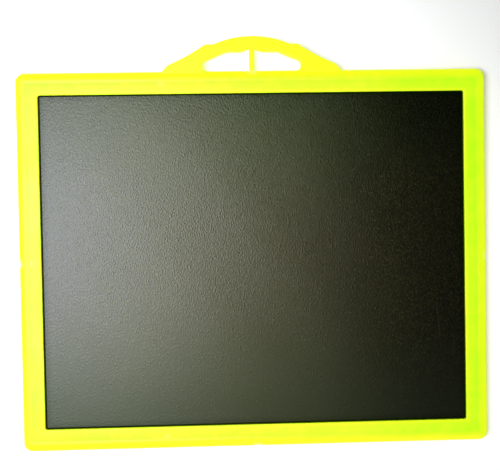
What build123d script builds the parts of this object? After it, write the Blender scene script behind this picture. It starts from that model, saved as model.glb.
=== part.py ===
from build123d import *
import os

# A child's writing slate, in millimetres. Two equal plastic mouldings, front and rear, close on pins round a
# stiff board that carries a thin black grained film on each side. A handle with finger gaps is part of both
# mouldings. The slate lies on its rear rim: X runs along its width, Y towards the handle, Z out of the face.

# Overall size of the frame, without the handle
FRAME_WIDTH = 280.0
FRAME_HEIGHT = 225.0
FRAME_THICKNESS = 8.0
CORNER_RADIUS = 5.4

# Section of a rail, from the outer edge inwards: a rim with a wide shoulder, a crease, a softly crowned band
# whose lip runs round the window
RAIL_WIDTH = 13.3
RIM_WIDTH = 6.0
SHOULDER_RUN = 5.0
SHOULDER_RISE = 3.0
STEP_DEPTH = 0.15
STEP_ROUND = 0.15
CREASE_RADIUS = 0.4
BAND_CROWN = 0.1
LIP_ROUND = 0.6
WINDOW_RADIUS = 1.2

# Walls of the hollow mouldings, and the bevel along their seam
SIDE_WALL = 1.8
ROOF_WALL = 1.5
SEAM_BEVEL = 0.25

# Writing panel: how far it laps under the rails, and its clearances there
BOARD_THICKNESS = 2.0
FILM_THICKNESS = 0.4
PANEL_LAP = 3.1
PANEL_RADIUS = 2.0
PANEL_FACE_GAP = 0.05
PANEL_EDGE_GAP = 0.3

# Pins and sockets that join the mouldings
BOSS_RADIUS = 2.3
PIN_RADIUS = 1.2
PIN_PITCH = 108.4
PIN_TIP_BEVEL = 0.3
PIN_FIT_GAP = 0.05
PIN_TIP_GAP = 0.3
SOCKET_ROOF = 0.9

# Sink marks over the pins, and gate scars in the rim
SINK_RADIUS = 2.2
SINK_DEPTH = 0.28
SCAR_LENGTH = 5.0
SCAR_DEPTH = 0.8

# Outline of the handle, with heights above the frame's top edge
HANDLE_SPAN = 106.8
TOE_RUN = 3.2
TOE_RISE = 3.7
TOE_ROUND = 2.0
FLANK_SAG = 0.7
KNUCKLE_SPAN = 55.6
KNUCKLE_RISE = 15.8
KNUCKLE_FLAT = 5.2
KNUCKLE_ROUND = 4.0
NECK_ROUND = 4.0
CROWN_RISE = 4.7

# Section of the handle
HANDLE_DROP = 1.0
HANDLE_WALL = 1.8
HANDLE_EDGE_ROUND = 0.8

# Finger gaps in the handle, and the post between them
GAP_SPAN = 58.8
GAP_END_RISE = 5.6
GAP_END_ROUND = 2.6
GAP_FOOT_ROUND = 2.8
GRIP_DEPTH = 4.3
GRIP_OUTER_SPAN = 30.4
GRIP_INNER_SPAN = 12.6
GRIP_ROUND = 4.0
NOTCH_RISE = 1.8
POST_WIDTH = 3.0
POST_THICKNESS = 2.6
POST_ROUND = 0.7

# Places that follow from the sizes above. Heights in a moulding are measured from its seam.
HALF = FRAME_THICKNESS / 2
EDGE_X = FRAME_WIDTH / 2
EDGE_Y = FRAME_HEIGHT / 2
PANEL_THICKNESS = BOARD_THICKNESS + 2 * FILM_THICKNESS
PANEL_INSET = RAIL_WIDTH - PANEL_LAP
SHOULDER_REACH = min(SHOULDER_RUN, RIM_WIDTH - 2 * STEP_ROUND, CORNER_RADIUS - CREASE_RADIUS)
CREASE_HEIGHT = HALF - STEP_DEPTH
BAND_WIDTH = RAIL_WIDTH - RIM_WIDTH
LIP_HEIGHT = CREASE_HEIGHT + 4 * BAND_CROWN * LIP_ROUND * (BAND_WIDTH - LIP_ROUND) / BAND_WIDTH**2
RAIL_REACH = RAIL_WIDTH + WINDOW_RADIUS
CHANNEL_HEIGHT = PANEL_THICKNESS / 2 + PANEL_FACE_GAP
POCKET_HEIGHT = max(CREASE_HEIGHT - ROOF_WALL, CHANNEL_HEIGHT)
BOSS_HEIGHT = (POCKET_HEIGHT + CREASE_HEIGHT) / 2
SOCKET_DEPTH = CREASE_HEIGHT - SOCKET_ROOF
PIN_INSET = PANEL_INSET - PANEL_EDGE_GAP - BOSS_RADIUS
HANDLE_HEIGHT = HALF - HANDLE_DROP
HANDLE_RISE = KNUCKLE_RISE + CROWN_RISE
FRAME_CENTRE_Y = -HANDLE_RISE / 2

# Corners of the handle's outline on the right, from its root under the rim up to its crown
ROOT = (HANDLE_SPAN / 2, EDGE_Y - RIM_WIDTH)
FOOT = (HANDLE_SPAN / 2, EDGE_Y)
TOE = (HANDLE_SPAN / 2 - TOE_RUN, EDGE_Y + TOE_RISE)
KNUCKLE = (KNUCKLE_SPAN / 2, EDGE_Y + KNUCKLE_RISE)
NECK = (KNUCKLE_SPAN / 2 - KNUCKLE_FLAT, EDGE_Y + KNUCKLE_RISE)
CROWN = (0, EDGE_Y + HANDLE_RISE)


def top_of(solid):
    """The highest face of a solid."""
    return solid.faces().sort_by(Axis.Z)[-1]


def foot_of(solid):
    """The lowest face of a solid."""
    return solid.faces().sort_by(Axis.Z)[0]


def left(point):
    """The mirror image of a point of the right-hand side."""
    return (-point[0], point[1])


def rounded(face, points, radius):
    """The face with its corners at these points, and at their mirror images, rounded."""
    both_sides = points + [left(point) for point in points]
    corners = [face.vertices().sort_by_distance(point)[0] for point in both_sides]
    return fillet(corners, radius)


def frame_outline(inset, radius):
    """The frame's rounded rectangle, moved inwards by inset."""
    return RectangleRounded(FRAME_WIDTH - 2 * inset, FRAME_HEIGHT - 2 * inset, radius)


def gate_scar(edge):
    """The shallow round bite that a cut runner leaves in the middle of a side, this far along Y."""
    bite_radius = (SCAR_LENGTH**2 / 4 + SCAR_DEPTH**2) / (2 * SCAR_DEPTH)
    return Pos(0, edge - SCAR_DEPTH + bite_radius, 0) * Cylinder(bite_radius, FRAME_THICKNESS)


def shoulder_cut():
    """What the elliptic shoulder takes off the rim's outer edge, all round the frame."""
    centre = (SHOULDER_REACH, HALF - SHOULDER_RISE)
    low, high = (0, HALF - SHOULDER_RISE), (SHOULDER_REACH, HALF)
    clear = [(-HALF, HALF - SHOULDER_RISE), (-HALF, 2 * HALF), (SHOULDER_REACH, 2 * HALF)]
    shoulder = EllipticalCenterArc(centre, SHOULDER_REACH, SHOULDER_RISE, start_angle=90, arc_size=90)
    section = make_face([shoulder, Polyline(low, *clear, high)])
    edge = frame_outline(0, CORNER_RADIUS).wire()
    inwards = Vector(0, 0, 1).cross(edge % 0)
    return sweep(Plane(origin=edge @ 0, x_dir=inwards, z_dir=edge % 0) * section, path=edge)


def rim_ring():
    """The raised outer rim: its inner step, its round shoulder, the bevel at the seam and the gate scars."""
    rim = extrude(frame_outline(0, CORNER_RADIUS) - frame_outline(RIM_WIDTH, CREASE_RADIUS), HALF)
    rim = fillet(top_of(rim).inner_wires()[0].edges(), STEP_ROUND)
    rim = chamfer(foot_of(rim).outer_wire().edges(), SEAM_BEVEL) - shoulder_cut()
    for turn, edge in ((0, EDGE_Y), (90, EDGE_X), (180, EDGE_Y), (270, EDGE_X)):
        rim -= Rot(0, 0, turn) * gate_scar(edge)
    return rim


def rail(length):
    """One side of the crowned band, mitred at both ends, along X with its outer edge on Y = 0."""
    seam = (RAIL_REACH, 0)
    tuck_foot = (SIDE_WALL, 0)
    tuck_top = (SIDE_WALL, POCKET_HEIGHT)
    root = (RIM_WIDTH - STEP_ROUND, POCKET_HEIGHT)
    step = (RIM_WIDTH - STEP_ROUND, CREASE_HEIGHT)
    crease = (RIM_WIDTH, CREASE_HEIGHT)
    crown = ((RIM_WIDTH + RAIL_WIDTH) / 2, CREASE_HEIGHT + BAND_CROWN)
    lip = (RAIL_WIDTH, CREASE_HEIGHT)
    spare = (RAIL_REACH, CREASE_HEIGHT)
    section = make_face(
        [
            Polyline(lip, spare, seam, tuck_foot, tuck_top, root, step, crease),
            ThreePointArc(crease, crown, lip),
        ]
    )
    band = extrude(Plane.YZ * section, length / 2, both=True)
    outer_end = (length / 2, 0)
    inner_end = (length / 2 - RAIL_REACH, RAIL_REACH)
    mitre = make_face(Polyline(left(outer_end), outer_end, inner_end, left(inner_end), close=True))
    return band & extrude(mitre, FRAME_THICKNESS)


def lip_cut():
    """What the lip's round takes off the band's inner edge, all round the window."""
    foot, clearance = LIP_HEIGHT - LIP_ROUND, WINDOW_RADIUS / 2
    low, high = (0, foot), (-LIP_ROUND, LIP_HEIGHT)
    clear = [(-LIP_ROUND, 2 * HALF), (clearance, 2 * HALF), (clearance, foot)]
    lip = CenterArc((-LIP_ROUND, foot), LIP_ROUND, start_angle=0, arc_size=90)
    section = make_face([lip, Polyline(high, *clear, low)])
    edge = frame_outline(RAIL_WIDTH, WINDOW_RADIUS).wire()
    inwards = Vector(0, 0, 1).cross(edge % 0)
    return sweep(Plane(origin=edge @ 0, x_dir=inwards, z_dir=edge % 0) * section, path=edge)


def band_ring():
    """The four mitred sides of the crowned band, with the window that they leave and its rounded lip."""
    long_side = Pos(0, -EDGE_Y, 0) * rail(FRAME_WIDTH)
    short_side = Pos(EDGE_X, 0, 0) * Rot(0, 0, 90) * rail(FRAME_HEIGHT)
    half_turn = Rot(0, 0, 180)
    band = long_side + short_side + half_turn * long_side + half_turn * short_side
    return band - extrude(frame_outline(RAIL_WIDTH, WINDOW_RADIUS), FRAME_THICKNESS) - lip_cut()


def hollow():
    """The space under the rails: a pocket beside the panel, and the channel that takes the panel's edge."""
    inside = frame_outline(SIDE_WALL, CORNER_RADIUS - SIDE_WALL)
    pocket = inside - frame_outline(PANEL_INSET, PANEL_RADIUS)
    return extrude(pocket, POCKET_HEIGHT) + extrude(inside, CHANNEL_HEIGHT)


def handle_blank():
    """The outside of the handle with sharp corners: toes, hollow flanks, knuckles and a round crown."""
    return make_face(
        [
            Polyline(left(TOE), left(FOOT), left(ROOT), ROOT, FOOT, TOE),
            SagittaArc(TOE, KNUCKLE, FLANK_SAG),
            Line(KNUCKLE, NECK),
            ThreePointArc(NECK, CROWN, left(NECK)),
            Line(left(NECK), left(KNUCKLE)),
            SagittaArc(left(KNUCKLE), left(TOE), FLANK_SAG),
        ]
    )


def handle_outline():
    """The outside of the handle with its corners rounded."""
    face = rounded(handle_blank(), [TOE], TOE_ROUND)
    face = rounded(face, [KNUCKLE], KNUCKLE_ROUND)
    return rounded(face, [NECK], NECK_ROUND)


def gap_outline():
    """The opening under the handle, before the post divides it into two finger gaps."""
    foot = (GAP_SPAN / 2, EDGE_Y)
    end = (GAP_SPAN / 2, EDGE_Y + GAP_END_RISE)
    grip_y = EDGE_Y + KNUCKLE_RISE - GRIP_DEPTH
    grip_outer = (GRIP_OUTER_SPAN / 2, grip_y)
    grip_inner = (GRIP_INNER_SPAN / 2, grip_y)
    notch = (POST_WIDTH / 2, grip_y + NOTCH_RISE)
    side = [foot, end, grip_outer, grip_inner, notch]
    other_side = [left(point) for point in reversed(side)]
    face = make_face(Polyline(*side, *other_side, close=True))
    longest_round = GAP_END_RISE / 2
    face = rounded(face, [foot], min(GAP_FOOT_ROUND, longest_round))
    face = rounded(face, [end], min(GAP_END_ROUND, longest_round))
    return rounded(face, [grip_outer, grip_inner], GRIP_ROUND)


def handle():
    """Half of the handle's thickness: a plate with rounded edges, and the post between the finger gaps."""
    plate = extrude(handle_outline() - gap_outline(), HANDLE_HEIGHT)
    plate = fillet(top_of(plate).edges(), HANDLE_EDGE_ROUND)
    plate = chamfer(foot_of(plate).edges(), SEAM_BEVEL)
    post_foot = EDGE_Y - SIDE_WALL
    post_length = EDGE_Y + KNUCKLE_RISE - post_foot
    post = Pos(0, post_foot + post_length / 2, 0) * Rectangle(POST_WIDTH, post_length)
    post = extrude(post, POST_THICKNESS / 2)
    return plate + fillet(top_of(post).edges().filter_by(Axis.Y), POST_ROUND)


def handle_pocket():
    """The space inside the handle, a wall's thickness in from its outline, its gap and the frame."""
    inside = offset(handle_blank(), -HANDLE_WALL) - offset(gap_outline(), HANDLE_WALL)
    return extrude(inside - frame_outline(0, CORNER_RADIUS), HANDLE_HEIGHT - ROOF_WALL)


def corner_pins():
    """Centres of the pins in the left-hand corners of a moulding; sockets mirror them on the right."""
    return [(PIN_INSET - EDGE_X, EDGE_Y - PIN_INSET), (PIN_INSET - EDGE_X, PIN_INSET - EDGE_Y)]


def rail_pins():
    """Centres of the pins between the corners, on the left; sockets mirror them on the right."""
    pitch = PIN_PITCH / 2
    return [(PIN_INSET - EDGE_X, 0), (-pitch, EDGE_Y - PIN_INSET), (-pitch, PIN_INSET - EDGE_Y)]


def boss():
    """The round boss that carries a pin or surrounds a socket."""
    return extrude(Circle(BOSS_RADIUS), BOSS_HEIGHT)


def pin():
    """A pin that reaches from the seam into the other moulding."""
    shaft = extrude(Circle(PIN_RADIUS), PIN_TIP_GAP - SOCKET_DEPTH)
    return chamfer(foot_of(shaft).edges(), PIN_TIP_BEVEL)


def socket():
    """The hole that takes a pin."""
    return extrude(Circle(PIN_RADIUS + PIN_FIT_GAP), SOCKET_DEPTH)


def sink_mark():
    """The shallow dimple that cooling leaves in the band over a pin."""
    ball_radius = (SINK_RADIUS**2 + SINK_DEPTH**2) / (2 * SINK_DEPTH)
    return Pos(0, 0, CREASE_HEIGHT + BAND_CROWN - SINK_DEPTH + ball_radius) * Sphere(ball_radius)


def moulding():
    """One half of the frame and handle, with its seam on Z = 0 and its face towards +Z."""
    body = rim_ring() + band_ring() + handle()
    body -= hollow()
    body -= handle_pocket()
    for place in corner_pins() + rail_pins():
        body += Pos(*place) * boss()
        body += Pos(*place) * pin()
        body += Pos(*left(place)) * boss()
        body -= Pos(*left(place)) * socket()
    for place in rail_pins():
        body -= Pos(*place) * sink_mark()
    return body


def panel_layer(bottom, thickness):
    """A layer of the writing panel, from the height of its lower face."""
    return Pos(0, 0, bottom) * extrude(frame_outline(PANEL_INSET, PANEL_RADIUS), thickness)


def main():
    half_frame = moulding()
    rear_film_z = HALF - PANEL_THICKNESS / 2
    board_z = rear_film_z + FILM_THICKNESS
    front_film_z = board_z + BOARD_THICKNESS
    pieces = {
        "front_frame": Pos(0, 0, HALF) * half_frame,
        "front_writing_film": panel_layer(front_film_z, FILM_THICKNESS),
        "core_board": panel_layer(board_z, BOARD_THICKNESS),
        "rear_writing_film": panel_layer(rear_film_z, FILM_THICKNESS),
        "rear_frame": Pos(0, 0, HALF) * Rot(0, 180, 0) * half_frame,
    }
    os.makedirs("parts", exist_ok=True)
    for name, piece in pieces.items():
        export_step(Pos(0, FRAME_CENTRE_Y, 0) * piece, f"parts/{name}.step")


main()
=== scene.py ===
import math

import bmesh
import bpy
import numpy as np
from mathutils import Matrix, Vector


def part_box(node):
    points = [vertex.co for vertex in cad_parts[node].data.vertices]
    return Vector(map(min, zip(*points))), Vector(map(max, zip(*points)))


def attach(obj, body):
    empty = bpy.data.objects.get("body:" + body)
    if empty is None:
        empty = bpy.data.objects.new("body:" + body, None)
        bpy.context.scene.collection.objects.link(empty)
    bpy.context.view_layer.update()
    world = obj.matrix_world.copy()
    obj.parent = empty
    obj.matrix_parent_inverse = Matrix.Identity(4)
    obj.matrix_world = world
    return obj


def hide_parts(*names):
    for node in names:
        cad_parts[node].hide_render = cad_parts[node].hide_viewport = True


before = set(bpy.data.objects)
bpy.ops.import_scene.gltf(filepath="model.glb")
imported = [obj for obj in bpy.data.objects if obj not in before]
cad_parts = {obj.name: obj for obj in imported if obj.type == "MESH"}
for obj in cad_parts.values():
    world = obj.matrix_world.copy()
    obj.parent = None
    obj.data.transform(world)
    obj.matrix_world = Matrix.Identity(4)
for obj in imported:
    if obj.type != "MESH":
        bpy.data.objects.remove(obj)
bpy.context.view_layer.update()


# Rear moulding: the lower half of the hollow frame and handle, injection moulded in lime plastic.
# Its rails are one section swept round the panel, and its arch and post are moulded on. It rests on its rim,
# and it closes against the front half on short pins along the seam. All sizes here are in millimetres.

MILLIMETRE = 0.001


def corners(node):
    """The lowest and highest corners of a CAD node, to a thousandth of a millimetre."""
    return [[round(value / MILLIMETRE, 3) for value in corner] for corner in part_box(node)]


# Overall sizes, from the frame
FRAME_LOW, FRAME_HIGH = corners("rear_frame")
BOARD_LOW, BOARD_HIGH = corners("core_board")
FRAME_CENTRE_Y = (BOARD_LOW[1] + BOARD_HIGH[1]) / 2
FRAME_HALF_WIDTH = FRAME_HIGH[0]
FRAME_HALF_HEIGHT = FRAME_CENTRE_Y - FRAME_LOW[1]
PANEL_HALF_WIDTH = BOARD_HIGH[0]
PANEL_HALF_HEIGHT = BOARD_HIGH[1] - FRAME_CENTRE_Y
PANEL_INSET = FRAME_HALF_WIDTH - PANEL_HALF_WIDTH
SEAM_HEIGHT = (BOARD_LOW[2] + BOARD_HIGH[2]) / 2

# Section of a rail, from its outer edge inwards, with heights above the seam
RIM_TOP = SEAM_HEIGHT
RIM_WIDTH = 6.0
SHOULDER_RUN = 5.0
SHOULDER_RISE = 3.0
STEP_RUN = 1.4
CREASE_TOP = 3.85
BAND_CROWN = 0.1
RAIL_WIDTH = 13.3
LIP_ROUND = 0.6
SEAM_BEVEL = 0.25
SIDE_WALL = 1.8
POCKET_ROOF = 2.35
CHANNEL_ROOF = 1.45
FRAME_CORNER = 5.4
WINDOW_CORNER = 1.2

# Sink marks over the pins between the corners
PIN_INSET = 7.6
PIN_PITCH = 54.2
SINK_RADIUS = 2.2
SINK_DEPTH = 0.28
SINK_MARGIN = 0.4
FACE_HEIGHT = 3.0

# Scars of the cut gates in the middle of each side, with a torn nub in each
SCAR_LENGTH = 5.0
SCAR_DEPTH = 0.8
SCAR_REACH = 1.2
NUB_PLACE = 0.5
NUB_HALF_LENGTH = 0.8
NUB_REACH = 0.3
NUB_TOP = 2.3

# Slight unevenness of the band's face: where it starts, the run over which it grows, and its waves
UNEVEN_HEIGHT = 3.2
UNEVEN_HEIGHT_RUN = 0.4
UNEVEN_INSET = 5.8
UNEVEN_INSET_RUN = 1.0
WAVE_HEIGHT = 0.035
WAVE_SINK = 0.03
LONG_WAVE_X = 17.0
LONG_WAVE_Y = 23.0
LONG_WAVE_START_X = 1.3
LONG_WAVE_START_Y = 0.4
SHORT_WAVE_X = 7.3
SHORT_WAVE_Y = 9.1
SHORT_WAVE_SHARE = 0.6

# Density of the mesh, and what is merged in it
SHOULDER_POINTS = 17
BAND_STEPS = 24
ROUND_STEPS = 6
CORNER_STEPS = 14
COARSE_STEP = 1.6
FINE_STEP = 0.35
FINE_REACH = 3.5
LEAST_STEP = 0.2
SWEEP_WELD = 0.01
WELD = 0.002
MOULDING_SHARP_ANGLE = 32


def arc(centre, radius, start, end, steps):
    """Points of an arc from one angle to another, in degrees."""
    angles = np.radians(np.linspace(start, end, steps + 1))
    return [(centre[0] + radius * math.cos(angle), centre[1] + radius * math.sin(angle)) for angle in angles]


def rail_section():
    """The closed section of a rail: distance in from the outer edge, and height above the seam."""
    points = [(SEAM_BEVEL, 0.0), (0.0, SEAM_BEVEL)]
    for angle in np.linspace(0, math.pi / 2, SHOULDER_POINTS):
        rise = RIM_TOP - SHOULDER_RISE * (1 - math.sin(angle))
        points.append((SHOULDER_RUN * (1 - math.cos(angle)), rise))
    band = RAIL_WIDTH - RIM_WIDTH
    bow = (band**2 / 4 + BAND_CROWN**2) / (2 * BAND_CROWN)
    bow_centre = (RIM_WIDTH + band / 2, CREASE_TOP + BAND_CROWN - bow)
    lip_inset = RAIL_WIDTH - LIP_ROUND
    lip_height = bow_centre[1] + math.sqrt((bow - LIP_ROUND)**2 - (lip_inset - bow_centre[0])**2)
    lip_angle = math.degrees(math.atan2(lip_height - bow_centre[1], lip_inset - bow_centre[0]))
    rim_angle = 90 + math.degrees(math.asin((bow_centre[0] - SHOULDER_RUN) / bow))
    for inset, height in arc(bow_centre, bow, rim_angle, lip_angle, BAND_STEPS)[1:]:
        drop = min(1, max(0, (inset - SHOULDER_RUN) / STEP_RUN))
        drop *= drop * (3 - 2 * drop)
        points.append((inset, RIM_TOP + (height - RIM_TOP) * drop))
    points += arc((lip_inset, lip_height), LIP_ROUND, lip_angle, 0, ROUND_STEPS)[1:]
    points += [(RAIL_WIDTH, CHANNEL_ROOF), (PANEL_INSET, CHANNEL_ROOF), (PANEL_INSET, POCKET_ROOF)]
    points += [(SIDE_WALL, POCKET_ROOF), (SIDE_WALL, 0.0)]
    return points


def stations(half_length, marks):
    """Places along a side, closer together round the marks, from the end of one corner to the next."""
    places = {-half_length, half_length}
    places.update(np.arange(-half_length, half_length, COARSE_STEP).tolist())
    for mark in marks:
        fine = np.arange(-FINE_REACH, FINE_REACH + FINE_STEP / 2, FINE_STEP)
        places.update((mark + fine).tolist())
    kept = []
    for place in sorted(places):
        if not kept or place - kept[-1] > LEAST_STEP:
            kept.append(place)
    return kept


def frame_path():
    """The outer edge of the frame, clockwise from the top left, as a closed run of points."""
    x_end = FRAME_HALF_WIDTH - FRAME_CORNER
    y_end = FRAME_HALF_HEIGHT - FRAME_CORNER
    top = [(x, FRAME_HALF_HEIGHT) for x in stations(x_end, (-PIN_PITCH, 0, PIN_PITCH))]
    side = [(FRAME_HALF_WIDTH, -y) for y in stations(y_end, (0,))]
    half = top + arc((x_end, y_end), FRAME_CORNER, 90, 0, CORNER_STEPS)[1:-1]
    half += side + arc((x_end, -y_end), FRAME_CORNER, 0, -90, CORNER_STEPS)[1:-1]
    return half + [(-x, -y) for x, y in half]


def linked(name, data):
    """A new object in the scene, of a mesh, a curve, a light or a camera."""
    made = bpy.data.objects.new(name, data)
    bpy.context.scene.collection.objects.link(made)
    return made


def closed_line(name, points):
    """A curve object of one closed run of points, given in millimetres."""
    curve = bpy.data.curves.new(name, "CURVE")
    curve.dimensions = "3D"
    spline = curve.splines.new("POLY")
    spline.points.add(len(points) - 1)
    for point, (x, y) in zip(spline.points, points):
        point.co = (x * MILLIMETRE, y * MILLIMETRE, 0.0, 1.0)
    spline.use_cyclic_u = True
    return linked(name, curve)


class Wire:
    """An output in a node tree. Arithmetic on it adds Math nodes, and node() adds any other kind."""

    def __init__(self, tree, socket=None):
        self.tree = tree
        self.socket = socket

    def node(self, kind, settings=None, sockets=None, output=0):
        """Adds a node: its settings first, then the values or links of its sockets."""
        made = self.tree.nodes.new(kind)
        for name, value in (settings or {}).items():
            if name == "capture":
                made.capture_items.new(value, "Kept")
            else:
                setattr(made, name, value)
        for name, value in (sockets or {}).items():
            if isinstance(value, Wire):
                self.tree.links.new(value.socket, made.inputs[name])
            else:
                made.inputs[name].default_value = value
        return Wire(self.tree, made.outputs[output]) if made.outputs else None

    def out(self, name):
        """Another output of the same node."""
        return Wire(self.tree, self.socket.node.outputs[name])

    def math(self, operation, *values):
        """The result of a Math node on these values."""
        return self.node("ShaderNodeMath", {"operation": operation}, dict(enumerate(values)))

    def __add__(self, other):
        return self.math("ADD", self, other)

    def __radd__(self, other):
        return self.math("ADD", other, self)

    def __sub__(self, other):
        return self.math("SUBTRACT", self, other)

    def __rsub__(self, other):
        return self.math("SUBTRACT", other, self)

    def __mul__(self, other):
        return self.math("MULTIPLY", self, other)

    def __rmul__(self, other):
        return self.math("MULTIPLY", other, self)

    def __truediv__(self, other):
        return self.math("DIVIDE", self, other)

    def __rtruediv__(self, other):
        return self.math("DIVIDE", other, self)

    def __abs__(self):
        return self.math("ABSOLUTE", self)


def node_shape(name, inputs):
    """A Geometry Nodes tree with named inputs: the tree, a Wire for each input, and the inputs' keys."""
    tree = bpy.data.node_groups.new(name, "GeometryNodeTree")
    tree.interface.new_socket("Shape", in_out="OUTPUT", socket_type="NodeSocketGeometry")
    keys = {}
    for label, kind in inputs.items():
        keys[label] = tree.interface.new_socket(label, in_out="INPUT", socket_type=kind).identifier
    entry = tree.nodes.new("NodeGroupInput")
    return tree, {label: Wire(tree, entry.outputs[label]) for label in inputs}, keys


def evaluated_mesh(made):
    """A plain mesh of an object with its modifiers applied."""
    graph = bpy.context.evaluated_depsgraph_get()
    return bpy.data.meshes.new_from_object(made.evaluated_get(graph), depsgraph=graph)


def grown(name, tree, keys, values):
    """The plain mesh that a tree makes from these input values."""
    carrier = linked(name, bpy.data.meshes.new(name))
    modifier = carrier.modifiers.new(name, "NODES")
    modifier.node_group = tree
    for label, value in values.items():
        modifier[keys[label]] = value
    mesh = evaluated_mesh(carrier)
    bpy.data.objects.remove(carrier)
    return mesh


def swept_frame_tree():
    """Sweeps the rail section round the frame's edge, with a small round left in the window's corners."""
    tree, given, keys = node_shape("swept_frame", {
        "Edge": "NodeSocketObject", "Section": "NodeSocketObject", "Half Size": "NodeSocketVector",
        "Corner": "NodeSocketFloat", "Window Corner": "NodeSocketFloat", "Weld": "NodeSocketFloat",
        "Plastic": "NodeSocketMaterial"})
    start = Wire(tree)
    numbers = {"a": 0, "b": 1, "scale": 3}

    def vector(operation, **values):
        sockets = {numbers[name]: value for name, value in values.items()}
        return start.node("ShaderNodeVectorMath", {"operation": operation}, sockets)

    def captured(kind, geometry, value):
        sockets = {"Geometry": geometry, 1: value}
        return start.node("GeometryNodeCaptureAttribute", {"capture": kind}, sockets)

    place = start.node("GeometryNodeInputPosition")
    edge = start.node("GeometryNodeObjectInfo", None, {"Object": given["Edge"]}, "Geometry")
    edge = start.node("GeometryNodeSetCurveNormal", {"mode": "Z_UP"}, {"Curve": edge})
    edge = captured("VECTOR", edge, place)
    section = start.node("GeometryNodeObjectInfo", None, {"Object": given["Section"]}, "Geometry")
    section = captured("FLOAT", section, start.node("ShaderNodeSeparateXYZ", None, {0: place}, "X"))
    rails = start.node("GeometryNodeCurveToMesh", None, {"Curve": edge, "Profile Curve": section})
    point = edge.out("Kept")
    inset = section.out("Kept")

    def drawn_back(margin):
        """The nearest point that lies this margin inside the frame's rectangle."""
        size = start.node("ShaderNodeSeparateXYZ", None, {0: given["Half Size"]})
        sides = {"X": size - margin, "Y": size.out("Y") - margin}
        reach = start.node("ShaderNodeCombineXYZ", None, sides)
        above_low = vector("MAXIMUM", a=point, b=vector("SCALE", a=reach, scale=-1.0))
        return vector("MINIMUM", a=above_low, b=reach)

    outwards = vector("NORMALIZE", a=vector("SUBTRACT", a=point, b=drawn_back(given["Corner"])))
    margin = start.math("MAXIMUM", given["Corner"], inset + given["Window Corner"])
    level = vector("ADD", a=drawn_back(margin), b=vector("SCALE", a=outwards, scale=margin - inset))
    height = start.node("ShaderNodeSeparateXYZ", None, {0: place}, "Z")
    level = vector("ADD", a=level, b=start.node("ShaderNodeCombineXYZ", None, {"Z": height}))
    rails = start.node("GeometryNodeSetPosition", None, {"Geometry": rails, "Position": level})
    rails = start.node("GeometryNodeMergeByDistance", None, {"Geometry": rails, "Distance": given["Weld"]})
    rails = start.node("GeometryNodeRealizeInstances", None, {"Geometry": rails})
    rails = start.node("GeometryNodeSetMaterial", None, {"Geometry": rails, "Material": given["Plastic"]})
    start.node("NodeGroupOutput", None, {"Shape": rails})
    return tree, keys


def points_of(mesh):
    """A mesh's points in millimetres."""
    points = np.empty(len(mesh.vertices) * 3)
    mesh.vertices.foreach_get("co", points)
    return points.reshape(-1, 3) / MILLIMETRE


def cut_scars(points, height):
    """Moves the outer wall's points inwards where the gates were cut off."""
    bite = (SCAR_LENGTH**2 / 4 + SCAR_DEPTH**2) / (2 * SCAR_DEPTH)
    for axis, edge in ((0, FRAME_HALF_WIDTH), (1, FRAME_HALF_HEIGHT)):
        for sign in (1, -1):
            along = points[:, 1 - axis]
            inset = edge - sign * points[:, axis]
            cut = SCAR_DEPTH - bite + np.sqrt(np.maximum(bite**2 - along**2, 0))
            torn = np.maximum(1 - ((along - NUB_PLACE) / NUB_HALF_LENGTH)**2, 0) * (height < NUB_TOP)
            cut = np.where(np.abs(along) < SCAR_LENGTH / 2, np.maximum(cut - NUB_REACH * torn, 0), 0)
            moved = (inset < cut) & (inset < SCAR_REACH)
            points[moved, axis] = sign * (edge - cut[moved])


def sink_pins(points, x, y, height):
    """Lowers the band's face to a shallow dimple over each pin between the corners."""
    ball = (SINK_RADIUS**2 + SINK_DEPTH**2) / (2 * SINK_DEPTH)
    side_pin_x = PIN_INSET - FRAME_HALF_WIDTH
    end_pin_y = FRAME_HALF_HEIGHT - PIN_INSET
    for pin_x, pin_y in ((side_pin_x, 0), (-PIN_PITCH, end_pin_y), (-PIN_PITCH, -end_pin_y)):
        away = np.hypot(x - pin_x, y - pin_y)
        floor = CREASE_TOP + BAND_CROWN - SINK_DEPTH + ball - np.sqrt(np.maximum(ball**2 - away**2, 0))
        dimple = (away < SINK_RADIUS + SINK_MARGIN) & (height > FACE_HEIGHT)
        points[dimple, 2] = np.minimum(points[dimple, 2], floor[dimple])


def mould_marks(points):
    """Moves the rails' points for the gate scars, the sink marks and the slight unevenness of a moulding."""
    x, y, height = points.T.copy()
    cut_scars(points, height)
    sink_pins(points, x, y, height)
    inset = np.minimum(FRAME_HALF_WIDTH - np.abs(x), FRAME_HALF_HEIGHT - np.abs(y))
    face = np.clip((height - UNEVEN_HEIGHT) / UNEVEN_HEIGHT_RUN, 0, 1)
    face *= np.clip((inset - UNEVEN_INSET) / UNEVEN_INSET_RUN, 0, 1)
    waves = np.sin(x / LONG_WAVE_X + LONG_WAVE_START_X) * np.cos(y / LONG_WAVE_Y + LONG_WAVE_START_Y)
    waves += SHORT_WAVE_SHARE * np.sin(x / SHORT_WAVE_X - y / SHORT_WAVE_Y)
    points[:, 2] += face * (WAVE_HEIGHT * waves - WAVE_SINK)
    return points


# The handle: a plate with rounded edges, and a thinner post between its finger gaps
HANDLE_HEIGHT = 3.0
HANDLE_ROUND = 0.8
ROOT_DEPTH = 1.6
FLANK_BOW = 0.7
CROWN_BOW = -4.68
POST_HALF_WIDTH = 1.5
POST_HEIGHT = 1.3
POST_ROUND = 0.7
POST_TOP = 15.0
FLAT_MARGIN = 0.25
TURN_STEP = 0.16
SIDE_STEP = 1.5
LEAST_SIDE = 0.02
MITRE_LIMIT = 0.35

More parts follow.
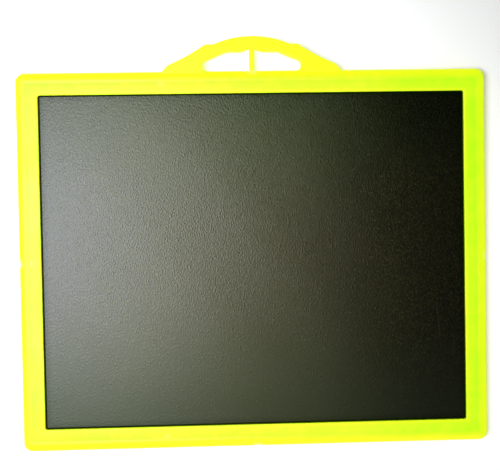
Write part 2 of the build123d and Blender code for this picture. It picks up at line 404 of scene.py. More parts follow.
# Right half of its outline: x, height above the frame's edge, round of the corner, bow of the side after it
ARCH_SIDE = [
    (53.4, -ROOT_DEPTH, 0, 0),
    (53.4, 0.0, 0, 0),
    (50.2, 3.7, 2.0, FLANK_BOW),
    (27.8, 15.8, 4.0, 0),
    (22.6, 15.8, 4.0, 0),
]
GAP_SIDE = [
    (1.5, 13.3, 0, 0),
    (6.3, 11.5, 4.0, 0),
    (15.2, 11.5, 4.0, 0),
    (29.4, 5.6, 2.6, 0),
    (29.4, 0.0, 2.7, 0),
    (26.5, 0.0, 0, 0),
    (26.5, -ROOT_DEPTH, 0, 0),
]


def heading(angle):
    """The unit vector at an angle."""
    return np.array((math.cos(angle), math.sin(angle)))


def smooth_outline(corner_list):
    """A dense closed outline, anticlockwise, through corners with a round and the bow of the next side."""
    count = len(corner_list)
    spots = [np.array(corner[:2]) for corner in corner_list]
    rounds = [corner[2] for corner in corner_list]
    leave = [0.0] * count
    arrive = [0.0] * count
    for i in range(count):
        following = (i + 1) % count
        run = spots[following] - spots[i]
        straight = math.atan2(run[1], run[0])
        lean = 2 * math.atan(2 * corner_list[i][3] / np.linalg.norm(run))
        leave[i] = straight + lean
        arrive[following] = straight - lean
    turns = [(leave[i] - arrive[i] + math.pi) % (2 * math.pi) - math.pi for i in range(count)]
    reach = [rounds[i] * math.tan(abs(turns[i]) / 2) for i in range(count)]
    outline = []
    for i in range(count):
        following = (i + 1) % count
        if rounds[i]:
            side = math.copysign(math.pi / 2, turns[i])
            centre = spots[i] - reach[i] * heading(arrive[i]) + rounds[i] * heading(arrive[i] + side)
            steps = max(3, math.ceil(abs(turns[i]) / TURN_STEP))
            for part in np.linspace(0, 1, steps + 1):
                outline.append(centre + rounds[i] * heading(arrive[i] + turns[i] * part - side))
        else:
            outline.append(spots[i])
        start = spots[i] + reach[i] * heading(leave[i])
        end = spots[following] - reach[following] * heading(arrive[following])
        length = np.linalg.norm(end - start)
        near = start + heading(leave[i]) * length / 3
        far = end - heading(arrive[following]) * length / 3
        for part in np.linspace(0, 1, max(1, round(length / SIDE_STEP)) + 1)[1:-1]:
            rest = 1 - part
            middle = 3 * rest**2 * part * near + 3 * rest * part**2 * far
            outline.append(rest**3 * start + middle + part**3 * end)
    clean = [outline[0]]
    for point in outline[1:]:
        if np.linalg.norm(point - clean[-1]) > LEAST_SIDE:
            clean.append(point)
    return np.array(clean)


def drawn_in(outline, distance):
    """The outline moved inwards by a distance, square to its sides."""
    ahead = np.roll(outline, -1, 0) - outline
    ahead /= np.linalg.norm(ahead, axis=1)[:, None]
    inward = np.stack((-ahead[:, 1], ahead[:, 0]), 1)
    both = inward + np.roll(inward, 1, 0)
    both /= np.maximum((both * both).sum(1) / 2, MITRE_LIMIT)[:, None]
    return outline + both * distance


def face_outwards(shape):
    """Turns all faces of a closed shape outwards."""
    bmesh.ops.recalc_face_normals(shape, faces=shape.faces[:])


def plate(outline, levels):
    """A closed plate from an outline: at each level, a height and how far the outline is drawn in."""
    shape = bmesh.new()
    loops = []
    for height, distance in levels:
        loops.append([shape.verts.new((x, y, height)) for x, y in drawn_in(outline, distance)])
    count = len(outline)
    for low, high in zip(loops, loops[1:]):
        for i in range(count):
            following = (i + 1) % count
            shape.faces.new((low[i], low[following], high[following], high[i]))
    for loop in (loops[0], loops[-1]):
        rim = [shape.edges.get((loop[i], loop[(i + 1) % count])) for i in range(count)]
        bmesh.ops.triangle_fill(shape, edges=rim, use_beauty=True)
    face_outwards(shape)
    mesh = bpy.data.meshes.new("plate")
    shape.to_mesh(mesh)
    shape.free()
    return mesh


def edge_levels(height, roundness):
    """Levels of a plate with a small bevel at the seam and a rounded upper edge."""
    levels = [(0.0, SEAM_BEVEL), (SEAM_BEVEL, 0.0)]
    rounded = arc((-roundness, height - roundness), roundness, 0, 90, ROUND_STEPS)
    levels += [(level, -inwards) for inwards, level in rounded]
    return levels + [(height, roundness + FLAT_MARGIN)]


def handle_meshes():
    """The arch, and the post in the middle of its opening."""
    def raised(side, sign):
        return [(sign * x, FRAME_HALF_HEIGHT + rise, *shaping) for x, rise, *shaping in side]

    right = raised(ARCH_SIDE, 1)
    right[-1] = right[-1][:3] + (CROWN_BOW,)
    left_bows = (0, FLANK_BOW, 0, 0, 0)
    left = [corner[:3] + (bow,) for corner, bow in zip(raised(ARCH_SIDE[::-1], -1), left_bows)]
    gap = raised(GAP_SIDE[::-1], -1) + raised(GAP_SIDE, 1)
    arch = smooth_outline(right + left + gap)
    foot = FRAME_HALF_HEIGHT - ROOT_DEPTH
    head = FRAME_HALF_HEIGHT + POST_TOP
    post = smooth_outline([
        (-POST_HALF_WIDTH, foot, 0, 0), (POST_HALF_WIDTH, foot, 0, 0),
        (POST_HALF_WIDTH, head, 0, 0), (-POST_HALF_WIDTH, head, 0, 0)])
    arch_plate = plate(arch, edge_levels(HANDLE_HEIGHT, HANDLE_ROUND))
    return arch_plate, plate(post, edge_levels(POST_HEIGHT, POST_ROUND))


def without_slivers(shape):
    """Merges points that lie on each other, and takes out the flat faces between them."""
    bmesh.ops.remove_doubles(shape, verts=shape.verts[:], dist=WELD)
    bmesh.ops.dissolve_degenerate(shape, dist=WELD, edges=shape.edges[:])


def reworked(mesh, step):
    """Changes a mesh by a step that works on its faces and points."""
    shape = bmesh.new()
    shape.from_mesh(mesh)
    step(shape)
    shape.to_mesh(mesh)
    shape.free()


def finished(mesh, sharp_angle):
    """The mesh in metres, smooth but for the edges that turn by more than an angle in degrees."""
    mesh.transform(Matrix.Scale(MILLIMETRE, 4))
    mesh.polygons.foreach_set("use_smooth", [True] * len(mesh.polygons))
    mesh.set_sharp_from_angle(angle=math.radians(sharp_angle))
    return mesh


def moulding_mesh(plastic):
    """One half of the frame with its handle, in metres, its seam on zero height and its face upwards."""
    edge = closed_line("frame_edge", frame_path())
    section = closed_line("rail_section", rail_section())
    tree, keys = swept_frame_tree()
    mesh = grown("swept_frame", tree, keys, {
        "Edge": edge,
        "Section": section,
        "Half Size": Vector((FRAME_HALF_WIDTH, FRAME_HALF_HEIGHT, 0)) * MILLIMETRE,
        "Corner": FRAME_CORNER * MILLIMETRE,
        "Window Corner": WINDOW_CORNER * MILLIMETRE,
        "Weld": SWEEP_WELD * MILLIMETRE,
        "Plastic": plastic})
    bpy.data.objects.remove(edge)
    bpy.data.objects.remove(section)
    mesh.vertices.foreach_set("co", mould_marks(points_of(mesh)).ravel())
    reworked(mesh, face_outwards)
    rails = linked("rails", mesh)
    helpers = [rails]
    for part in handle_meshes():
        part.materials.append(plastic)
        helper = linked("handle", part)
        helpers.append(helper)
        union = rails.modifiers.new("moulded_on", "BOOLEAN")
        union.operation = "UNION"
        union.solver = "EXACT"
        union.object = helper
    whole = evaluated_mesh(rails)
    for helper in helpers:
        bpy.data.objects.remove(helper)
    reworked(whole, without_slivers)
    return finished(whole, MOULDING_SHARP_ANGLE)


def soft_step(value, low, high):
    """A smooth rise from 0 to 1 as the value goes from low to high."""
    return value.node("ShaderNodeMapRange", {"interpolation_type": "SMOOTHSTEP"},
                      {"Value": value, "From Min": low, "From Max": high})


def blended(share, first, second):
    """A colour between two colours."""
    return share.node("ShaderNodeMix", {"data_type": "RGBA"}, {0: share, 6: first, 7: second}, 2)


def noise(place, scale, detail, output=0, **more):
    """Cloudy noise over a place, at a scale in clouds per metre."""
    sockets = {"Vector": place, "Scale": scale, "Detail": detail}
    return place.node("ShaderNodeTexNoise", None, {**sockets, **more}, output)


def stretched(place, turn, scale):
    """A place turned about z and scaled, to draw a pattern out in one direction."""
    return place.node("ShaderNodeMapping", None, {"Vector": place, "Rotation": (0, 0, turn), "Scale": scale})


def bumped(height, strength, distance):
    """A normal from a height between 0 and 1, at a depth in millimetres."""
    sockets = {"Strength": strength, "Distance": distance * MILLIMETRE, "Height": height}
    return height.node("ShaderNodeBump", None, sockets)


def new_finish(name):
    """A new material: the material, its shader and the Object coordinates in its tree."""
    finish = bpy.data.materials.new(name)
    finish.use_nodes = True
    shader = finish.node_tree.nodes["Principled BSDF"]
    where = Wire(finish.node_tree).node("ShaderNodeTexCoord", None, None, "Object")
    return finish, shader, where


def from_middle(where):
    """The place as seen from the frame's middle, and its x, y and z in millimetres."""
    sockets = {"Vector": where, "Location": (0, -FRAME_CENTRE_Y * MILLIMETRE, 0)}
    centred = where.node("ShaderNodeMapping", None, sockets)
    apart = where.node("ShaderNodeSeparateXYZ", None, {0: centred})
    return centred, *(apart.out(axis) / MILLIMETRE for axis in "XYZ")


def feed(shader, **links):
    """Links wires to a shader's sockets, with underscores for the spaces in their names."""
    for name, wire in links.items():
        shader.id_data.links.new(wire.socket, shader.inputs[name.replace("_", " ")])


# Colours of the lime plastic: the yellow lime also carries painted light at the rim and lip, and the pale
# lime painted light along the rails' middle; the dark lip colour is painted shade, and both glows are
# painted glow
DEEP_LIME = (0.46, 0.92, 0.006, 1)
YELLOW_LIME = (0.84, 0.96, 0.007, 1)
PALE_LIME = (0.88, 0.97, 0.030, 1)
WHITENED_LIME = (0.90, 0.92, 0.25, 1)
LIP_FOOT_SHADE_COLOUR = (0.03, 0.06, 0.002, 1)
BAND_PAINTED_GLOW = (0.02, 0.03, 0.0, 1)
RIM_PAINTED_GLOW = (0.20, 0.22, 0.0, 1)

# Where the plastic's tones and its painted light and shade start and end, in from the frame's outer edge
RIM_LIGHT_SPAN = (0.0, 7.0)
LIP_LIGHT_SPAN = (RAIL_WIDTH - 3.0, RAIL_WIDTH)
LIP_FACE = (RAIL_WIDTH - 0.3, RAIL_WIDTH)
CREASE_SHADE_INSET = RIM_WIDTH + 0.6
CREASE_SHADE_WIDTH = 2.4
SCAR_WHITE_START = (-0.6, 0.0)
SCAR_WHITE_END = (0.6, 3.2)
LIT_MIDDLE_START = (2.0, 7.0)

# The same above the seam, along a side from its middle, and round a pin
LIP_SHADE_TOP = (CHANNEL_ROOF + 0.9, RIM_TOP - 0.4)
SCAR_WHITE_LENGTH = (1.5, 3.6)
LIT_MIDDLE_LENGTH = (35.0, 125.0)
SINK_WHITE = (0.2, SINK_RADIUS + 0.6)
SINK_RAGGED = 3.0

# Its patterns: clouds per metre, flow lines per millimetre, and the depth of its orange peel
FLOW_SCALE = 22.0
CLOUD_SCALE = 140.0
SCUFF_SCALE = 420.0
PEEL_SCALE = 1500.0
LINE_SCALE = 1.7
PEEL_DEPTH = 0.06


def lime_plastic():
    """Fluorescent lime plastic: painted light makes it yellower, with a painted glow, at the rim, yellower
    at the lip and paler along the middle of the top and bottom rails; painted shade darkens the crease and
    the lip's foot.
    It is whitened at the scars and sink marks, with flow marks and fine scuffs."""
    finish, shader, where = new_finish("lime_plastic")
    centred, x, y, z = from_middle(where)
    inset = where.math("MINIMUM", FRAME_HALF_WIDTH - abs(x), FRAME_HALF_HEIGHT - abs(y))
    # Painted light: the rim is coloured yellower and given a painted glow, standing in for the light it
    # gathers
    rim_painted_light = 1 - soft_step(inset, *RIM_LIGHT_SPAN)
    # Painted light: yellower towards the lip
    lip_painted_light = soft_step(inset, *LIP_LIGHT_SPAN)
    # Painted shade: darker in the crease between rim and band
    crease_painted_shade = 1 - soft_step(abs(inset - CREASE_SHADE_INSET), 0.0, CREASE_SHADE_WIDTH)
    # Painted shade: the lip's inner wall darkened at its foot, next to the film
    lip_foot_shade = soft_step(inset, *LIP_FACE) * (1 - soft_step(abs(z - SEAM_HEIGHT), *LIP_SHADE_TOP))

    off_gate = where.math("MINIMUM", abs(x), abs(y))
    whitened = soft_step(inset, *SCAR_WHITE_START) * (1 - soft_step(inset, *SCAR_WHITE_END))
    whitened = whitened * (1 - soft_step(off_gate, *SCAR_WHITE_LENGTH))
    # Painted light: paler along the middle of the top and bottom rails
    lit_rail_middle = (1 - soft_step(abs(x), *LIT_MIDDLE_LENGTH)) * soft_step(inset, *LIT_MIDDLE_START)

    facing = x * where.math("SIGN", z - SEAM_HEIGHT)
    to_side_pin = facing + (FRAME_HALF_WIDTH - PIN_INSET)
    to_end_pin = facing + PIN_PITCH
    past_end_pin = abs(y) - (FRAME_HALF_HEIGHT - PIN_INSET)
    off_side_pin = where.math("SQRT", to_side_pin * to_side_pin + y * y)
    off_end_pin = where.math("SQRT", to_end_pin * to_end_pin + past_end_pin * past_end_pin)
    off_pin = where.math("MINIMUM", off_side_pin, off_end_pin)

    flow = noise(centred, FLOW_SCALE, 3.0, Distortion=0.6)
    cloud = noise(centred, CLOUD_SCALE, 4.0)
    scuffs = noise(centred, SCUFF_SCALE, 6.0, Roughness=0.7)
    peel = noise(centred, PEEL_SCALE, 2.0)
    lines = where.node("ShaderNodeTexNoise", {"noise_dimensions": "1D"},
                       {"W": inset * LINE_SCALE, "Scale": 1.0, "Detail": 3.0})
    sunk = 1 - soft_step(off_pin + (cloud - 0.5) * SINK_RAGGED, *SINK_WHITE)
    # Paleness: painted light along the rails' middle, plus random tone from the clouds
    pale = lit_rail_middle * 0.26 + soft_step(cloud, 0.40, 0.70) * 0.12
    # Yellower where light is painted at the rim and lip, darker where shade is painted in the crease; flow,
    # clouds and lines are the plastic's own tone
    yellow = rim_painted_light * 0.62 + lip_painted_light * 0.42 - crease_painted_shade * 0.10 - 0.28
    yellow = yellow + flow * 0.5 + cloud * 0.24 + lines * 0.10

    colour = blended(yellow, DEEP_LIME, YELLOW_LIME)
    colour = blended(pale, colour, PALE_LIME)
    colour = blended(where.math("MAXIMUM", whitened * 0.5, sunk * 0.22), colour, WHITENED_LIME)
    # Painted shade at the lip's foot
    colour = blended(lip_foot_shade * 0.85, colour, LIP_FOOT_SHADE_COLOUR)
    rough = 0.26 + flow * 0.30 + soft_step(scuffs, 0.55, 0.75) * 0.12
    bump = bumped(peel * 0.6 + scuffs * 0.4, 0.35, PEEL_DEPTH)
    # Painted glow: emission strongest on the rim, faint over the band
    painted_glow = blended(rim_painted_light, BAND_PAINTED_GLOW, RIM_PAINTED_GLOW)
    feed(shader, Base_Color=colour, Roughness=rough, Normal=bump, Emission_Color=painted_glow)
    shader.inputs["Emission Strength"].default_value = 1.0
    shader.inputs["IOR"].default_value = 1.49
    shader.inputs["Specular IOR Level"].default_value = 0.24
    return finish


PLASTIC = lime_plastic()
MOULDING = moulding_mesh(PLASTIC)
IN_PLACE = Matrix.Translation(Vector((0, FRAME_CENTRE_Y, SEAM_HEIGHT)) * MILLIMETRE)
HALF_TURN = Matrix.Rotation(math.pi, 4, "Y")

rear_mesh = MOULDING.copy()
rear_mesh.transform(IN_PLACE @ HALF_TURN)
rear_moulding = linked("rear_moulding", rear_mesh)
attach(rear_moulding, "root")
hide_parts("rear_frame")


# Rear writing film: a thin black plastic sheet with a leather grain, bonded to the back of the board.
# Its edges lie under the rails of the rear moulding, and its writing face looks down.

REAR_FILM_LOW, REAR_FILM_HIGH = corners("rear_writing_film")
FILM_THICKNESS = REAR_FILM_HIGH[2] - REAR_FILM_LOW[2]
PANEL_CORNER = 2.0

# Mesh lines of a film: close strips along its edges, and evenly spaced lines across the rest
EDGE_STRIP = 0.4
SECOND_STRIP = 1.0
FILM_COLUMNS = 87
FILM_ROWS = 69
FILM_SHARP_ANGLE = 40

# Unevenness of its face: flat near the rails, then dips that grow over a run
HELD_FLAT = 4.0
HELD_RUN = 40.0
DIP_HEIGHT = 0.07
DIP_LEVEL = 1.2
LONG_DIP_X = 21.0
LONG_DIP_Y = 27.0
LONG_DIP_START_X = 0.7
LONG_DIP_START_Y = -0.5
SHORT_DIP_X = 11.0
SHORT_DIP_Y = 14.0
SHORT_DIP_SHARE = 0.5


def film_lines(half, count):
    """Places of the mesh lines from one edge of a film to the other."""
    inside = np.linspace(SECOND_STRIP - half, half - SECOND_STRIP, count)
    return np.concatenate(([-half, EDGE_STRIP - half], inside, [half - EDGE_STRIP, half]))


def film_point(x, y):
    """A point of a film, drawn in where a corner is rounded, and how far its face is off level there."""
    over_x = abs(x) - PANEL_HALF_WIDTH + PANEL_CORNER
    over_y = abs(y) - PANEL_HALF_HEIGHT + PANEL_CORNER
    held = min(1, max(0, min(-over_x, -over_y) - HELD_FLAT) / HELD_RUN)
    wave = math.sin(x / LONG_DIP_X + LONG_DIP_START_X) * math.cos(y / LONG_DIP_Y + LONG_DIP_START_Y)
    wave += SHORT_DIP_SHARE * math.sin(x / SHORT_DIP_X + y / SHORT_DIP_Y)
    beyond = math.hypot(max(over_x, 0), max(over_y, 0))
    if over_x > 0 and over_y > 0 and beyond > PANEL_CORNER:
        x -= math.copysign(over_x * (1 - PANEL_CORNER / beyond), x)
        y -= math.copysign(over_y * (1 - PANEL_CORNER / beyond), y)
    return x, y, held * DIP_HEIGHT * (wave - DIP_LEVEL)


def film_mesh(name):
    """A closed sheet with rounded corners; its writing face is up and is a little uneven."""
    shape = bmesh.new()

    def face(height, uneven):
        """Adds one face of the sheet, and returns the points round its edge."""
        rows = []
        for y in film_lines(PANEL_HALF_HEIGHT, FILM_ROWS):
            row = []
            for x in film_lines(PANEL_HALF_WIDTH, FILM_COLUMNS):
                *spot, dip = film_point(x, y)
                row.append(shape.verts.new((*spot, height + uneven * dip)))
            rows.append(row)
        for low, high in zip(rows, rows[1:]):
            for i in range(len(low) - 1):
                shape.faces.new((low[i], low[i + 1], high[i + 1], high[i]))
        right_side = [row[-1] for row in rows[1:-1]]
        left_side = [row[0] for row in rows[-2:0:-1]]
        return rows[0] + right_side + rows[-1][::-1] + left_side

    lower = face(0.0, 0)
    upper = face(FILM_THICKNESS, 1)
    for i in range(len(lower)):
        following = (i + 1) % len(lower)
        shape.faces.new((lower[i], lower[following], upper[following], upper[i]))
    without_slivers(shape)
    face_outwards(shape)
    mesh = bpy.data.meshes.new(name)
    shape.to_mesh(mesh)
    shape.free()
    return finished(mesh, FILM_SHARP_ANGLE)


# Film colours: the edge colour is painted shade along the lip; the dusts are the film's own dirt
FILM_BLACK = (0.0003, 0.0004, 0.0001, 1)
CHALK = (0.40, 0.41, 0.14, 1)
DULL_BLACK = (0.0004, 0.0004, 0.0001, 1)
BROWN_DUST = (0.046, 0.039, 0.012, 1)
GREEN_DUST = (0.014, 0.034, 0.012, 1)
EDGE_PAINTED_SHADE = (0.0018, 0.0065, 0.0005, 1)
FILM_TINT = (0.98, 1.0, 0.84, 1.0)

# Where the film's tones and its painted shade start and end: in from the lip, across from the middle, and up
# from the middle
LIP_LINE = (0.45, 1.0)
LIP_SHADE = (0.6, 5.0)
RIGHT_SHADE_ACROSS = (25.0, 110.0)
RIGHT_SHADE_UP = (-100.0, -40.0)
GRAIN_UP = (-100.0, 10.0)
FLAT_GRAIN_UP = (30.0, 90.0)
FLAT_GRAIN_ACROSS = (-90.0, 0.0)
DUST_UP = (40.0, 95.0)
DUST_ACROSS = (75.0, 120.0)
BROWN_UP = (-105.0, -50.0)

# One long score on the right: its place, its slope, and half its width and length with their soft ends
SCORE_X = 110.6
SCORE_Y = -38.0
SCORE_SLOPE = 0.08
SCORE_HALF_WIDTH = (0.1, 0.5)
SCORE_HALF_LENGTH = (7.0, 11.0)

# Its patterns: cells or clouds per metre, how they are turned and drawn out, and the depth of the grain
PEBBLE_SCALE = 760.0
PEBBLE_BEND_SCALE = 420.0
PEBBLE_BEND = (0.0012, 0.0012, 0.0012)
STROKE_SCALE = 1500.0
GRAIN_TURN = 0.35
GRAIN_DRAW = (1.0, 0.6, 1.0)
GRAIN_DEPTH = 0.1
SPECK_SCALE = 190.0
STREAK_SCALE = 130.0
STREAK_TURN = 0.12
STREAK_DRAW = (1.0, 0.03, 1.0)
HAZE_SCALE = 14.0
RUB_SCALE = 55.0


def slate_film():
    """Satin black film with a leather grain, shallower towards the lower edge and the upper left. Chalk is
    left in its valleys, specks and scratches, and dust on its right side, which is turned dull and dark as
    painted shade; painted shade also runs along the lip."""
    finish, shader, where = new_finish("slate_film")
    x, y, z = from_middle(where)[1:]
    to_side = FRAME_HALF_WIDTH - RAIL_WIDTH - abs(x)
    to_end = FRAME_HALF_HEIGHT - RAIL_WIDTH - abs(y)
    from_lip = where.math("MINIMUM", to_side, to_end)
    # Painted shade: a dark dull line along the lip, fading over a few millimetres
    lip_painted_shade = (1 - soft_step(from_lip, *LIP_LINE)) * 0.8 + (1 - soft_step(from_lip, *LIP_SHADE)) * 0.2
    # Painted shade: the right side, more so towards the top, turned dull and dark
    right_painted_shade = soft_step(x, *RIGHT_SHADE_ACROSS) * (0.34 + 0.22 * soft_step(y, *RIGHT_SHADE_UP))

    drawn = stretched(where, GRAIN_TURN, GRAIN_DRAW)
    bend = noise(drawn, PEBBLE_BEND_SCALE, 2.0, "Color")
    bent = where.node("ShaderNodeVectorMath", {"operation": "MULTIPLY_ADD"},
                      {0: bend, 1: PEBBLE_BEND, 2: drawn})
    cells = where.node("ShaderNodeTexVoronoi", {"feature": "DISTANCE_TO_EDGE"},
                       {"Vector": bent, "Scale": PEBBLE_SCALE})
    pebble = soft_step(cells, 0.0, 0.36)
    stroke = soft_step(noise(drawn, STROKE_SCALE, 1.5), 0.34, 0.66)
    flat_corner = soft_step(y, *FLAT_GRAIN_UP) * (1 - soft_step(x, *FLAT_GRAIN_ACROSS))
    sharp = 0.50 + 0.50 * soft_step(y, *GRAIN_UP) - 0.20 * flat_corner
    relief = pebble * 0.5 + stroke * 0.5
    valley = 1 - relief

    cells = where.node("ShaderNodeTexVoronoi", None, {"Vector": where, "Scale": SPECK_SCALE})
    chosen = where.node("ShaderNodeSeparateColor", None, {0: cells.out("Color")})
    specks = (1 - soft_step(cells, 0.02, 0.055)) * soft_step(chosen, 0.60, 0.70)
    cells = where.node("ShaderNodeTexVoronoi", {"voronoi_dimensions": "2D"},
                       {"Vector": stretched(where, STREAK_TURN, STREAK_DRAW), "Scale": STREAK_SCALE})
    chosen = where.node("ShaderNodeSeparateColor", None, {0: cells.out("Color")})
    streaks = (1 - soft_step(cells, 0.008, 0.022)) * soft_step(chosen, 0.45, 0.75)
    along = y - SCORE_Y
    score = 1 - soft_step(abs(x - SCORE_X + SCORE_SLOPE * along), *SCORE_HALF_WIDTH)
    score = score * (1 - soft_step(abs(along), *SCORE_HALF_LENGTH)) * stroke
    scratches = streaks * 0.4 + score

    haze = noise(where, HAZE_SCALE, 5.0, Roughness=0.6)
    rubbed = noise(where, RUB_SCALE, 4.0)
    on_front = soft_step(z, SEAM_HEIGHT - 1, SEAM_HEIGHT + 1)
    chalk = (specks * 0.22 + scratches * 0.09) * on_front
    chalk = chalk + valley * valley * 0.010 + soft_step(haze, 0.50, 0.80) * 0.001
    rough = 0.175 + haze * 0.04 + rubbed * 0.02 + valley * 0.10 + (1 - sharp) * 0.13 + specks * 0.3
    bump = bumped(relief * sharp, 0.65, GRAIN_DEPTH)
    feed(shader, Base_Color=blended(chalk, FILM_BLACK, CHALK), Roughness=rough, Normal=bump)
    shader.inputs["IOR"].default_value = 1.45
    shader.inputs["Specular Tint"].default_value = FILM_TINT

    dusty = soft_step(relief, 0.45, 0.95) * (1 - soft_step(y, *DUST_UP))
    dusty = dusty * (1 - soft_step(x, *DUST_ACROSS) * 0.55)
    dust = blended(soft_step(y, *BROWN_UP), GREEN_DUST, BROWN_DUST)
    # Colour of the dull film: dust on the right, painted shade along the lip
    dull_colour = blended(lip_painted_shade, blended(dusty, DULL_BLACK, dust), EDGE_PAINTED_SHADE)
    dull = where.node("ShaderNodeBsdfPrincipled", None, {
        "Base Color": dull_colour, "Roughness": 0.6, "Specular IOR Level": 0.0})
    # Share of the dull shader: painted shade along the lip and on the right side
    dull_share = where.math("MINIMUM", lip_painted_shade + right_painted_shade, 1.0)
    satin = Wire(where.tree, shader.outputs[0])
    surface = where.node("ShaderNodeMixShader", None, {0: dull_share, 1: satin, 2: dull})
    where.tree.links.new(surface.socket, where.tree.nodes["Material Output"].inputs["Surface"])
    return finish


FILM = slate_film()

rear_film_mesh = film_mesh("rear_film")
rear_film_mesh.materials.append(FILM)
rear_film_mesh.transform(HALF_TURN)
rear_film_mesh.transform(Matrix.Translation(Vector((0, FRAME_CENTRE_Y, REAR_FILM_HIGH[2])) * MILLIMETRE))
rear_film = linked("rear_film", rear_film_mesh)
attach(rear_film, "root")
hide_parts("rear_writing_film")


# Core board: the stiff grey board between the two films, pressed from waste paper and cut to size.
# It lies loose in the channel of the rails, and only its cut edge would show with the frame open.

FIBRE_GREY = (0.30, 0.28, 0.25, 1)
PULP_GREY = (0.46, 0.44, 0.40, 1)
FIBRE_SCALE = 700.0
FIBRE_DRAW = (1.0, 3.0, 8.0)
FIBRE_DEPTH = 0.1
PULP_SCALE = 90.0


def grey_board():
    """Grey pressed board with darker fibres and a slightly open surface."""
    finish, shader, where = new_finish("grey_board")
    fibres = noise(stretched(where, 0, FIBRE_DRAW), FIBRE_SCALE, 5.0, Distortion=1.2)
    colour = blended(soft_step(fibres, 0.35, 0.7), FIBRE_GREY, PULP_GREY)
    rough = 0.82 + noise(where, PULP_SCALE, 4.0) * 0.12
    feed(shader, Base_Color=colour, Roughness=rough, Normal=bumped(fibres, 0.4, FIBRE_DEPTH))
    return finish


core_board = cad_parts["core_board"]
core_board.data.materials.clear()
core_board.data.materials.append(grey_board())


# Front writing film: the same grained black sheet, bonded to the face of the board, where the child writes.
# Its edges lie under the rails of the front moulding.

FRONT_FILM_BOTTOM = corners("front_writing_film")[0][2]

front_film_mesh = film_mesh("front_film")
front_film_mesh.materials.append(FILM)
front_film_mesh.transform(Matrix.Translation(Vector((0, FRAME_CENTRE_Y, FRONT_FILM_BOTTOM)) * MILLIMETRE))
front_film = linked("front_film", front_film_mesh)
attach(front_film, "root")
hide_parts("front_writing_film")


# Front moulding: the upper half of the frame and handle, from the same mould as the rear one.
# It is pressed down over the panel onto the pins, and its face carries the sink marks over them.

front_mesh = MOULDING.copy()
front_mesh.transform(IN_PLACE)
front_moulding = linked("front_moulding", front_mesh)
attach(front_moulding, "root")
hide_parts("front_frame")


# Table: the plain white top that the slate lies on, just below its rim. A painted pool of light glows on it
# round the slate and fades towards the sides. Its sizes and those of the lamps are in metres.

TABLE_REACH = 4.0
TABLE_TOP = -0.00005
TABLE_TONES = ((0.70, 0.66, 0.68, 1), (0.74, 0.70, 0.72, 1))
TONE_SCALE = 3.0
POOL_CENTRE = (-0.03, -0.06, 0)
POOL_EDGE = (0.17, 0.30)
POOL_GLOW = (0.30, 0.30, 0.30, 1)
OUTER_GLOW = (0.02, 0.02, 0.02, 1)


def white_top():
    """Matt white, a little uneven in tone, with a painted pool of light that glows round the slate."""
    finish, shader, where = new_finish("white_top")
    tone = noise(where, TONE_SCALE, 3.0)
    away = where.node("ShaderNodeVectorMath", {"operation": "DISTANCE"}, {0: where, 1: POOL_CENTRE}, "Value")
    painted_glow = blended(soft_step(away, *POOL_EDGE), POOL_GLOW, OUTER_GLOW)
    feed(shader, Base_Color=blended(tone, *TABLE_TONES), Roughness=0.6 + tone * 0.1, Emission_Color=painted_glow)
    shader.inputs["Emission Strength"].default_value = 1.0
    return finish


table_corners = [(x * TABLE_REACH, y * TABLE_REACH, 0) for x, y in ((-1, -1), (1, -1), (1, 1), (-1, 1))]
table_mesh = bpy.data.meshes.new("table")
table_mesh.from_pydata(table_corners, [], [(0, 1, 2, 3)])
table_mesh.materials.append(white_top())
table = linked("table", table_mesh)
table.location.z = TABLE_TOP


# Light: a large soft lamp overhead on the left, a small window in front of the slate, and a plain room whose
# walls are pale and whose ceiling is dim. The lamp is a set of flat panels, a hair apart in height.

LAMP_HEIGHT = 0.62
PANEL_SPACING = 0.002
LAMP_PANELS = [
    # left, right, near and far edges, radiance, colour: the lamp, cool on the left and warmer to the right
    (-0.554, -0.300, -0.265, 0.240, 6.0, (0.95, 1.0, 0.95)),
    (-0.300, -0.170, -0.265, 0.240, 7.8, (0.98, 1.0, 0.90)),
    (-0.170, -0.060, -0.260, 0.240, 5.4, (1.0, 0.98, 0.75)),
    # its brighter middle
    (-0.554, -0.170, -0.200, 0.190, 2.6, (0.96, 1.0, 1.80)),
    (-0.554, -0.170, -0.120, 0.130, 2.6, (0.96, 1.0, 1.80)),
    (-0.170, -0.060, -0.180, 0.160, 4.8, (1.0, 0.96, 0.88)),
    # its spill on the ceiling
    (-0.060, 0.038, -0.260, 0.150, 1.8, (1.0, 0.88, 0.36)),
    (0.038, 0.136, -0.260, 0.150, 1.6, (1.0, 0.86, 0.40)),
    # the greener light at its two ends
    (-0.350, 0.150, 0.110, 0.230, 1.4, (0.10, 1.0, 0.05)),
    (-0.550, -0.100, -0.350, -0.220, 1.6, (0.10, 1.0, 0.05)),
    (-0.100, 0.150, -0.350, -0.220, 0.9, (0.10, 1.0, 0.05)),
]
WINDOW_PLACE = (0.10, -0.42, 0.30)
WINDOW_AIM = (0.0, -0.05, 0.0)
WINDOW_SIZE = (0.30, 0.20)
WALL_GLOW = 0.35
WALL_EDGE = (0.20, 0.80)
CEILING_GLOW = 0.04
CEILING_SLOPE = 0.3


def lamp(name, place, size, radiance, colour):
    """A flat soft lamp that faces down."""
    light = bpy.data.lights.new(name, "AREA")
    light.shape = "RECTANGLE"
    light.size, light.size_y = size
    light.energy = radiance * math.pi * size[0] * size[1]
    light.color = colour
    fitting = linked(name, light)
    fitting.location = place
    return fitting


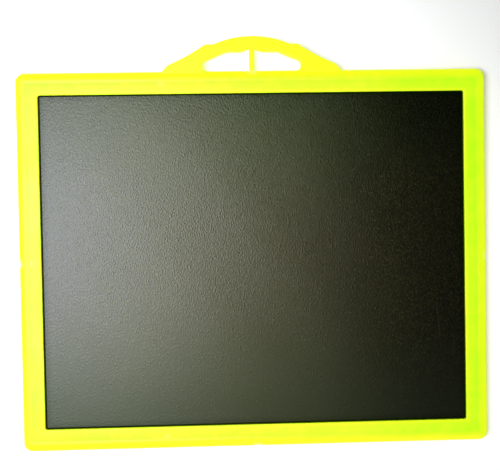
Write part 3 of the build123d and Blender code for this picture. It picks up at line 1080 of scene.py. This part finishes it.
for step, (left, right, near, far, radiance, colour) in enumerate(LAMP_PANELS):
    place = ((left + right) / 2, (near + far) / 2, LAMP_HEIGHT + PANEL_SPACING * step)
    lamp("lamp", place, (right - left, far - near), radiance, colour)
window = lamp("window", WINDOW_PLACE, WINDOW_SIZE, 1.0, (1.0, 1.0, 1.0))
window.rotation_euler = (Vector(WINDOW_AIM) - Vector(WINDOW_PLACE)).to_track_quat("-Z", "Y").to_euler()

room = bpy.data.worlds.new("room")
bpy.context.scene.world = room
room.use_nodes = True
walls = Wire(room.node_tree)
direction = walls.node("ShaderNodeSeparateXYZ", None, {0: walls.node("ShaderNodeTexCoord")})
ceiling = walls.math("MAXIMUM", CEILING_GLOW - CEILING_SLOPE * direction.out("Y"), 0.0)
strength = ceiling + WALL_GLOW * (1 - soft_step(direction.out("Z"), *WALL_EDGE))
background = room.node_tree.nodes["Background"]
background.inputs["Color"].default_value = (1, 1, 1, 1)
room.node_tree.links.new(strength.socket, background.inputs["Strength"])
bpy.context.scene.view_settings.view_transform = "Standard"


# Camera: almost straight above the slate, turned and leaned by a degree or two.
# Its place is given as where it sees the frame's middle, in millimetres along its own axes.

FOCAL_PIXELS = 800.0
IMAGE_WIDTH = 500.0
SENSOR_WIDTH = 36.0
SEEN_MIDDLE = Vector((2.82, -14.46, -485.62))
TURN = 0.01738
LEAN_BACK = 0.02741
LEAN_SIDE = 0.03425

camera = bpy.data.cameras.new("camera")
camera.sensor_width = SENSOR_WIDTH
camera.lens = FOCAL_PIXELS * SENSOR_WIDTH / IMAGE_WIDTH
camera_object = linked("camera", camera)
lean = Matrix.Rotation(LEAN_BACK, 3, "X") @ Matrix.Rotation(LEAN_SIDE, 3, "Y")
to_world = (Matrix.Rotation(TURN, 3, "Z") @ lean).transposed()
stand = (to_world @ -SEEN_MIDDLE + Vector((0, FRAME_CENTRE_Y, 0))) * MILLIMETRE
camera_object.matrix_world = Matrix.Translation(stand) @ to_world.to_4x4()
bpy.context.scene.camera = camera_object
